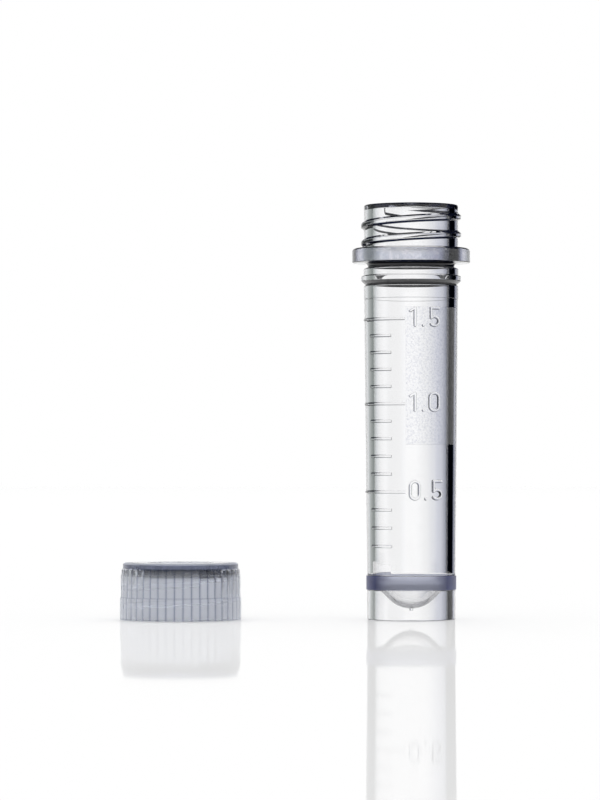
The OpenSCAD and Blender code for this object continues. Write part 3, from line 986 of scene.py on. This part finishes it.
def join_plastic(tree, skin, depth, share, share_inside):
    """Joins a plastic's skin and depth. A share of the lamp's light passes straight through the skin, so that
    its shadow is pale, and another share of it reaches what is seen through the plastic.
    """
    path = add_node(tree, "LightPath").outputs
    passed = add_node(tree, "MapRange", {
        "Value": path["Transmission Depth"], "To Min": share, "To Max": share_inside,
    })
    open_to = add_node(tree, "Math", {0: path["Is Shadow Ray"], 1: passed}, operation="MULTIPLY")
    through = add_node(tree, "BsdfTransparent", {"Color": WHITE})
    surface = add_node(tree, "MixShader", {0: open_to, 1: skin, 2: through})
    add_node(tree, "OutputMaterial", {"Surface": surface, "Volume": depth})


def clear_plastic(f):
    """Injection-moulded clear polypropylene. It is glassy from the polished mould, takes a lavender depth
    where the wall is thick, and has a fine grain that greys what lies behind it where the mould was eroded.
    The inside corners under the flange and the bead are painted near black: painted shade for the light that
    they throw back into its wall.
    """
    material, tree = new_material("clear polypropylene, moulded")
    place = add_node(tree, "TexCoord").outputs["Object"]
    matt = add_node(tree, "Attribute", attribute_name=MATT).outputs["Fac"]
    corner = add_node(tree, "Attribute", attribute_name=PAINTED_CORNER_SHADE).outputs["Fac"]
    # Soft flow waves of the moulding, 4 mm apart and a micron or two high, and the grain of the eroded faces:
    # really about 0.05 mm, drawn 0.2 mm wide so that it shows
    waves = add_node(tree, "TexNoise", {"Vector": place, "Scale": 1 / (4 * MM)})
    grain = add_node(tree, "TexNoise", {"Vector": place, "Scale": 1 / (0.2 * MM)})
    flow = add_node(tree, "Bump", {"Height": waves, "Strength": 1.0, "Distance": 0.004 * MM})
    eroded = add_node(tree, "Bump", {
        "Height": grain, "Strength": matt, "Distance": 0.01 * MM, "Normal": flow,
    })
    rough = add_node(tree, "MapRange", {"Value": matt, "To Max": 0.4})
    # The grain greys each matt face, and patches of about 0.5 mm mottle the flange's edge besides
    specks = add_node(tree, "MapRange", {"Value": grain, "From Min": 0.42, "From Max": 0.7})
    on_matt = add_node(tree, "MapRange", {"Value": matt, "From Max": PANEL_MATT})
    grained = add_node(tree, "Math", {0: specks, 1: on_matt}, operation="MULTIPLY")
    patches = add_node(tree, "TexNoise", {"Vector": place, "Scale": 1 / (0.5 * MM), "Detail": 3.0})
    mottled = add_node(tree, "MapRange", {"Value": patches, "From Min": 0.4, "From Max": 0.62})
    on_flange = add_node(tree, "MapRange", {"Value": matt, "From Min": 0.3, "From Max": FLANGE_MATT})
    greyed = add_node(tree, "Math", {
        0: mottled, 1: on_flange, 2: grained,
    }, operation="MULTIPLY_ADD", use_clamp=True)
    body = add_node(tree, "Mix", {0: greyed, COLOUR_A: f.clear, COLOUR_B: f.specks}, data_type="RGBA")
    # The foot band is deeper in colour where it is looked at along its skin: partly its own tint through more
    # of the frosted skin, partly painted shade
    slant = add_node(tree, "LayerWeight", {"Blend": 0.5}).outputs["Facing"]
    deep = add_node(tree, "MapRange", {"Value": slant, "From Min": 0.08, "From Max": 0.4})
    band = add_node(tree, "Mix", {0: deep, COLOUR_A: f.band, COLOUR_B: f.band_slant_tint_and_shade}, data_type="RGBA")
    dull = add_node(tree, "MapRange", {"Value": matt, "From Min": 0.2, "From Max": BAND_MATT})
    skin = add_node(tree, "Mix", {0: dull, COLOUR_A: body, COLOUR_B: band}, data_type="RGBA")
    # Painted shade: the inside corners are painted near black
    colour = add_node(tree, "Mix", {0: corner, COLOUR_A: skin, COLOUR_B: f.corners}, data_type="RGBA")
    # The foot band's skin scatters some of the light, and the corners painted dark let next to none through
    on_band = add_node(tree, "MapRange", {"Value": matt, "From Min": 0.5, "From Max": BAND_MATT})
    band_share = 0.4
    scattered = add_node(tree, "Math", {
        0: on_band, 1: band_share, 2: corner,
    }, operation="MULTIPLY_ADD", use_clamp=True)
    clarity = add_node(tree, "Math", {0: 1.0, 1: scattered}, operation="SUBTRACT")
    shader = add_node(tree, "BsdfPrincipled", {
        "Base Color": colour, "Transmission Weight": clarity, "Roughness": rough, "IOR": PLASTIC_IOR,
        "Normal": eroded,
    })
    depth = add_node(tree, "VolumeAbsorption", {"Color": f.depth, "Density": 24.0})
    join_plastic(tree, shader, depth, share=0.95, share_inside=0.95)
    return material


def translucent_plastic(f):
    """Injection-moulded translucent polypropylene. The outside is glossy from the polished mould, so the ring
    shows dark through the top. The inside is matt, which turns all that lies farther behind it milky. Painted
    shade darkens the grooves between the ribs, the rim and the edge below it, seen from outside.
    """
    material, tree = new_material("translucent polypropylene, moulded")
    place = add_node(tree, "TexCoord").outputs["Object"]
    matt = add_node(tree, "Attribute", attribute_name=MATT).outputs["Fac"]
    groove = add_node(tree, "Attribute", attribute_name=PAINTED_GROOVE_SHADE).outputs["Fac"]
    # Cloudiness of the plastic, in patches of about 1.5 mm
    cloud = add_node(tree, "TexNoise", {"Vector": place, "Scale": 1 / (1.5 * MM), "Detail": 3.0})
    gloss = add_node(tree, "MapRange", {"Value": cloud, "To Min": 0.06, "To Max": 0.14})
    rough = add_node(tree, "Mix", {0: matt, NUMBER_A: gloss, NUMBER_B: 0.5})
    # Painted shade in the grooves, on the rim and along the edges, seen from outside only: from inside, the
    # cloudy plastic hides it
    inside = add_node(tree, "NewGeometry").outputs["Backfacing"]
    outside = add_node(tree, "Math", {0: 1.0, 1: inside}, operation="SUBTRACT")
    dark = add_node(tree, "Math", {0: groove, 1: outside}, operation="MULTIPLY")
    colour = add_node(tree, "Mix", {0: dark, COLOUR_A: f.milky, COLOUR_B: f.grooves}, data_type="RGBA")
    clarity = add_node(tree, "MapRange", {"Value": matt, "To Min": 1.0, "To Max": 0.35})
    shader = add_node(tree, "BsdfPrincipled", {
        "Base Color": colour, "Transmission Weight": clarity, "Roughness": rough, "IOR": PLASTIC_IOR,
    })
    depth = add_node(tree, "VolumeAbsorption", {"Color": f.haze, "Density": 22.0})
    join_plastic(tree, shader, depth, share=0.3, share_inside=0.95)
    return material


def rubber(f):
    """Moulded black rubber: dark and dull, with a weak soft highlight."""
    material, tree = new_material("moulded rubber")
    place = add_node(tree, "TexCoord").outputs["Object"]
    # Matt skin of the rubber, 0.1 mm
    skin = add_node(tree, "TexNoise", {"Vector": place, "Scale": 1 / (0.1 * MM), "Detail": 2.0})
    bump = add_node(tree, "Bump", {"Height": skin, "Strength": 0.2, "Distance": 0.02 * MM})
    shader = add_node(tree, "BsdfPrincipled", {
        "Base Color": f.rubber, "Roughness": 0.55, "IOR": RUBBER_IOR, "Specular IOR Level": 0.15,
        "Normal": bump,
    })
    add_node(tree, "OutputMaterial", {"Surface": shader})
    return material


# ---------------------------------------------------------------------------
# Studio
# ---------------------------------------------------------------------------

# Brightness of the screen round the set, by direction in degrees from the back (+Y) towards +X
SCREEN = (
    (-168, "ffffff"), (-160, "f4f6f8"), (-155, "d4d8d8"), (-145, "b4b8b6"), (-130, "8e9492"),
    (-110, "989e9c"), (-100, "d4d8d8"), (-94, "ffffff"), (-86, "ffffff"), (-80, "d4d8d8"),
    (-70, "989e9c"), (-50, "8e9492"), (-35, "b4b8b6"), (-25, "d4d8d8"), (-20, "f4f6f8"),
    (-12, "ffffff"), (5, "ffffff"), (11, "d2d4de"), (19, "b4b6c2"), (24, "8e92a4"),
    (28, "161a2a"), (32, "020306"), (72, "020306"), (80, "82879c"), (86, "ffffff"),
    (94, "ffffff"), (100, "82879c"), (108, "030408"), (146, "030408"), (152, "82879c"),
    (160, "d2d4de"), (168, "ffffff"),
)
# Where the screen's dark sides lie, in degrees from the back
SIDE_FROM, SIDE_TO = 24, 90
# How far above its lit height, in millimetres, the screen is dark, and its colour there
SCREEN_FADE = 30
SCREEN_TOP = linear("20253a")
# Heights in degrees between which the sky turns from white to dark, and its colour overhead
SKY_WHITE, SKY_DARK = 13, 22
OVERHEAD = linear("232838")
# Black card beside the set, the distances in millimetres between which it fills what light from a piece
# finds, and its share where that light is short
CARD = linear("10142a")
CARD_NEAR, CARD_FAR = 12, 25
CARD_LEAST = 0.3
# How much of its Fresnel share the floor mirrors
FLOOR_GLOSS = 0.38
# What light that corners of the plastic threw back twice finds
LOST = linear("06080e")
# Width of the camera's sensor in millimetres
SENSOR = 36


def ray_kinds(tree):
    """Tells rays apart by what they met on their way from the eye. Sharp ones met no dull surface. Lost ones
    passed through plastic and were thrown back twice.
    """
    path = add_node(tree, "LightPath").outputs
    sharp = add_node(tree, "Math", {0: path["Diffuse Depth"], 1: 0.5}, operation="LESS_THAN")
    through = add_node(tree, "Math", {0: path["Transmission Depth"], 1: 0.5}, operation="GREATER_THAN")
    twice = add_node(tree, "Math", {0: path["Glossy Depth"], 1: 1.5}, operation="GREATER_THAN")
    lost = add_node(tree, "Math", {0: twice, 1: through}, operation="MULTIPLY")
    return SimpleNamespace(path=path, sharp=sharp, through=through, lost=lost)


def screen_material(lit, strength):
    """A lit screen, bright behind, black and grey at the sides, seen only in the pieces and in the floor."""
    material, tree = new_material("studio screen")
    ray = ray_kinds(tree)
    place = add_node(tree, "TexCoord").outputs["Object"]
    axes = add_node(tree, "SeparateXYZ", {0: place}).outputs
    turn = add_node(tree, "Math", {0: axes["X"], 1: axes["Y"]}, operation="ARCTAN2")
    share = add_node(tree, "MapRange", {"Value": turn, "From Min": -math.pi, "From Max": math.pi})
    ramp = add_node(tree, "ValToRGB", {0: share})
    stops = ramp.color_ramp.elements
    for stop, (degrees, colour) in zip((stops[0], stops[1]), (SCREEN[0], SCREEN[-1])):
        stop.position, stop.color = degrees / 360 + 0.5, linear(colour)
    for degrees, colour in SCREEN[1:-1]:
        stops.new(degrees / 360 + 0.5).color = linear(colour)
    # A ray that has not passed through plastic sees only the dark sides, and only in a polished face. The
    # floor's mirror is not quite polished and sees plain white.
    away = add_node(tree, "Math", {0: turn}, operation="ABSOLUTE")
    middle, half = math.radians((SIDE_TO + SIDE_FROM) / 2), math.radians((SIDE_TO - SIDE_FROM) / 2)
    side = add_node(tree, "Math", {0: away, 1: middle, 2: half}, operation="COMPARE")
    glint = add_node(tree, "Math", {0: side, 1: ray.path["Is Singular Ray"]}, operation="MULTIPLY")
    shaded = add_node(tree, "Math", {0: glint, 1: ray.through}, operation="MAXIMUM")
    colour = add_node(tree, "Mix", {0: shaded, COLOUR_A: WHITE, COLOUR_B: ramp}, data_type="RGBA")
    high = add_node(tree, "MapRange", {
        "Value": axes["Z"], "From Min": lit * MM, "From Max": (lit + SCREEN_FADE) * MM,
    }, interpolation_type="SMOOTHSTEP")
    fading = add_node(tree, "Mix", {0: high, COLOUR_A: colour, COLOUR_B: SCREEN_TOP}, data_type="RGBA")
    kept = add_node(tree, "Mix", {0: ray.lost, COLOUR_A: fading, COLOUR_B: LOST}, data_type="RGBA")
    # Light that is on its way to a dull surface comes from a plain sky
    plain = [strength] * 3 + [1.0]
    seen = add_node(tree, "Mix", {0: ray.sharp, COLOUR_A: plain, COLOUR_B: kept}, data_type="RGBA")
    light = add_node(tree, "Emission", {"Color": seen})
    add_node(tree, "OutputMaterial", {"Surface": light})
    return material


def floor_material():
    """White acrylic sheet: plain white, keeps the shadow, with a weak mirror image at a low angle. Light that
    the plastic throws down steeply finds it dark, as black card beside the set would make it, and so does all
    light that corners of the plastic threw back twice.
    """
    material, tree = new_material("white acrylic sheet")
    ray = ray_kinds(tree)
    base = add_node(tree, "BsdfDiffuse", {"Color": WHITE})
    mirror = add_node(tree, "BsdfGlossy", {"Color": WHITE, "Roughness": 0.03})
    edge = add_node(tree, "Fresnel", {"IOR": PLASTIC_IOR})
    share = add_node(tree, "Math", {0: edge, 1: FLOOR_GLOSS}, operation="MULTIPLY")
    white = add_node(tree, "MixShader", {0: share, 1: base, 2: mirror})
    # The slope of the light is told by the Fresnel share
    card = add_node(tree, "Emission", {"Color": CARD})
    beside = add_node(tree, "MapRange", {
        "Value": ray.path["Ray Length"], "From Min": CARD_NEAR * MM, "From Max": CARD_FAR * MM,
        "To Min": CARD_LEAST,
    })
    thrown = add_node(tree, "Math", {
        0: ray.path["Glossy Depth"], 1: ray.path["Transmission Depth"],
    }, operation="MULTIPLY")
    steep = add_node(tree, "MapRange", {"Value": edge, "From Min": 0.5, "From Max": 0.35})
    down = add_node(tree, "Math", {0: thrown, 1: steep}, operation="MULTIPLY", use_clamp=True)
    near = add_node(tree, "Math", {0: down, 1: beside}, operation="MULTIPLY")
    dark = add_node(tree, "Math", {0: near, 1: ray.lost}, operation="MAXIMUM")
    shown = add_node(tree, "Math", {0: dark, 1: ray.sharp}, operation="MULTIPLY")
    mix = add_node(tree, "MixShader", {0: shown, 1: white, 2: card})
    add_node(tree, "OutputMaterial", {"Surface": mix})
    return material


def sky(world, strength):
    """White to the eye. Reflections and clear plastic see it bright near the horizon and dark overhead."""
    world.use_nodes = True
    tree = world.node_tree
    tree.nodes.clear()
    ray = ray_kinds(tree)
    place = add_node(tree, "TexCoord").outputs["Generated"]
    axes = add_node(tree, "SeparateXYZ", {0: place}).outputs
    low, high = math.sin(math.radians(SKY_WHITE)), math.sin(math.radians(SKY_DARK))
    above = add_node(tree, "MapRange", {
        "Value": axes["Z"], "From Min": low, "From Max": high,
    }, interpolation_type="SMOOTHSTEP")
    fading = add_node(tree, "Mix", {0: above, COLOUR_A: WHITE, COLOUR_B: OVERHEAD}, data_type="RGBA")
    kept = add_node(tree, "Mix", {0: ray.lost, COLOUR_A: fading, COLOUR_B: LOST}, data_type="RGBA")
    glint = add_node(tree, "Math", {
        0: ray.path["Is Glossy Ray"], 1: ray.path["Is Transmission Ray"],
    }, operation="MAXIMUM")
    looked = add_node(tree, "Math", {0: glint, 1: ray.sharp}, operation="MULTIPLY")
    soft = add_node(tree, "Background", {"Color": WHITE, "Strength": strength})
    seen = add_node(tree, "Background", {"Color": kept})
    plain = add_node(tree, "Background", {"Color": WHITE})
    first = add_node(tree, "MixShader", {0: looked, 1: soft, 2: seen})
    last = add_node(tree, "MixShader", {0: ray.path["Is Camera Ray"], 1: first, 2: plain})
    add_node(tree, "OutputWorld", {"Surface": last})


def studio_floor(s):
    """A sheet that the pieces stand on. It lies a hair under them."""
    bm = bmesh.new()
    low = Matrix.Translation((0, 0, -s.floor_drop))
    bmesh.ops.create_circle(bm, cap_ends=True, segments=64, radius=s.floor, matrix=low)
    in_metres(bm)
    floor = as_object(bm, "floor")
    floor.data.materials.append(floor_material())


def studio_screen(s):
    """A round screen, open for the camera's view, that neither the camera nor dull surfaces see."""
    bm = bmesh.new()
    outline(bm, [(s.wrap, 0), (s.wrap, s.wrap_height)], closed=False)
    part_turned(bm, -s.wrap_open, math.pi + s.wrap_open, SCREEN_STEP)
    in_metres(bm)
    screen = as_object(bm, "screen")
    screen.data.materials.append(screen_material(s.wrap_lit, s.sky))
    screen.visible_camera = False
    screen.visible_diffuse = False
    screen.visible_shadow = False


def studio_lamp(scene, s):
    """Light from above that leans to the back. It lights the floor alike however far it leans."""
    lamp = bpy.data.lights.new("overhead light", "SUN")
    lamp.energy = s.sun * math.pi / math.cos(s.sun_back)
    lamp.angle = s.sun_wide
    lamp_object = bpy.data.objects.new("overhead light", lamp)
    lamp_object.rotation_euler = (-s.sun_back, 0, 0)
    lamp_object.visible_glossy = False
    lamp_object.visible_transmission = False
    scene.collection.objects.link(lamp_object)


def studio_camera(scene, s):
    """A long lens, far away and low, that looks a little up."""
    camera = bpy.data.cameras.new("camera")
    camera.lens = s.lens
    camera.sensor_width = SENSOR
    camera.clip_start, camera.clip_end = 0.01, 10
    camera_object = bpy.data.objects.new("camera", camera)
    camera_object.location = (s.aside * MM, -s.away * MM, s.up * MM)
    camera_object.rotation_euler = (math.pi / 2 + s.pitch, 0, 0)
    scene.collection.objects.link(camera_object)
    scene.camera = camera_object
    scene.view_settings.view_transform = "Standard"


class CRYOVIAL_OT_studio(bpy.types.Operator):
    """Set the floor, the screen, the light and the camera"""

    bl_idname = "cryovial.studio"
    bl_label = "Studio"

    def execute(self, context):
        scene = context.scene
        s = in_mm(scene.cryovial_studio)
        studio_floor(s)
        studio_screen(s)
        scene.world = bpy.data.worlds.new("studio sky")
        sky(scene.world, s.sky)
        studio_lamp(scene, s)
        studio_camera(scene, s)
        return {"FINISHED"}


class CRYOVIAL_PT_panel(bpy.types.Panel):
    """The pieces of the cryovial, each with its sizes"""

    bl_idname = "CRYOVIAL_PT_panel"
    bl_label = "Cryovial"
    bl_space_type = "VIEW_3D"
    bl_region_type = "UI"
    bl_category = "Cryovial"

    def draw(self, context):
        for operator, groups in PIECES.items():
            box = self.layout.box()
            box.operator(operator)
            for key in groups:
                group = getattr(context.scene, key)
                for name in group.bl_rna.properties.keys():
                    if name not in ("rna_type", "name"):
                        box.prop(group, name)


# The operators in the order in which they run, each with the groups of its sizes
PIECES = {
    "cryovial.tube": ("cryovial_tube", "cryovial_marks"),
    "cryovial.cap": ("cryovial_cap",),
    "cryovial.seal_ring": ("cryovial_finishes",),
    "cryovial.studio": ("cryovial_studio",),
}
GROUPS = {
    "cryovial_tube": CryovialTubeSizes,
    "cryovial_marks": CryovialMarkSizes,
    "cryovial_cap": CryovialCapSizes,
    "cryovial_finishes": CryovialFinishes,
    "cryovial_studio": CryovialStudio,
}
CLASSES = (
    *GROUPS.values(), CRYOVIAL_OT_tube, CRYOVIAL_OT_cap, CRYOVIAL_OT_seal_ring, CRYOVIAL_OT_studio,
    CRYOVIAL_PT_panel,
)


def register():
    for cls in CLASSES:
        bpy.utils.register_class(cls)
    for key, group in GROUPS.items():
        setattr(bpy.types.Scene, key, PointerProperty(type=group))


def unregister():
    for key in GROUPS:
        delattr(bpy.types.Scene, key)
    for cls in reversed(CLASSES):
        bpy.utils.unregister_class(cls)


def main():
    register()
    bpy.ops.cryovial.tube()
    bpy.ops.cryovial.cap()
    bpy.ops.cryovial.seal_ring()
    bpy.ops.cryovial.studio()


if __name__ == "__main__":
    main()
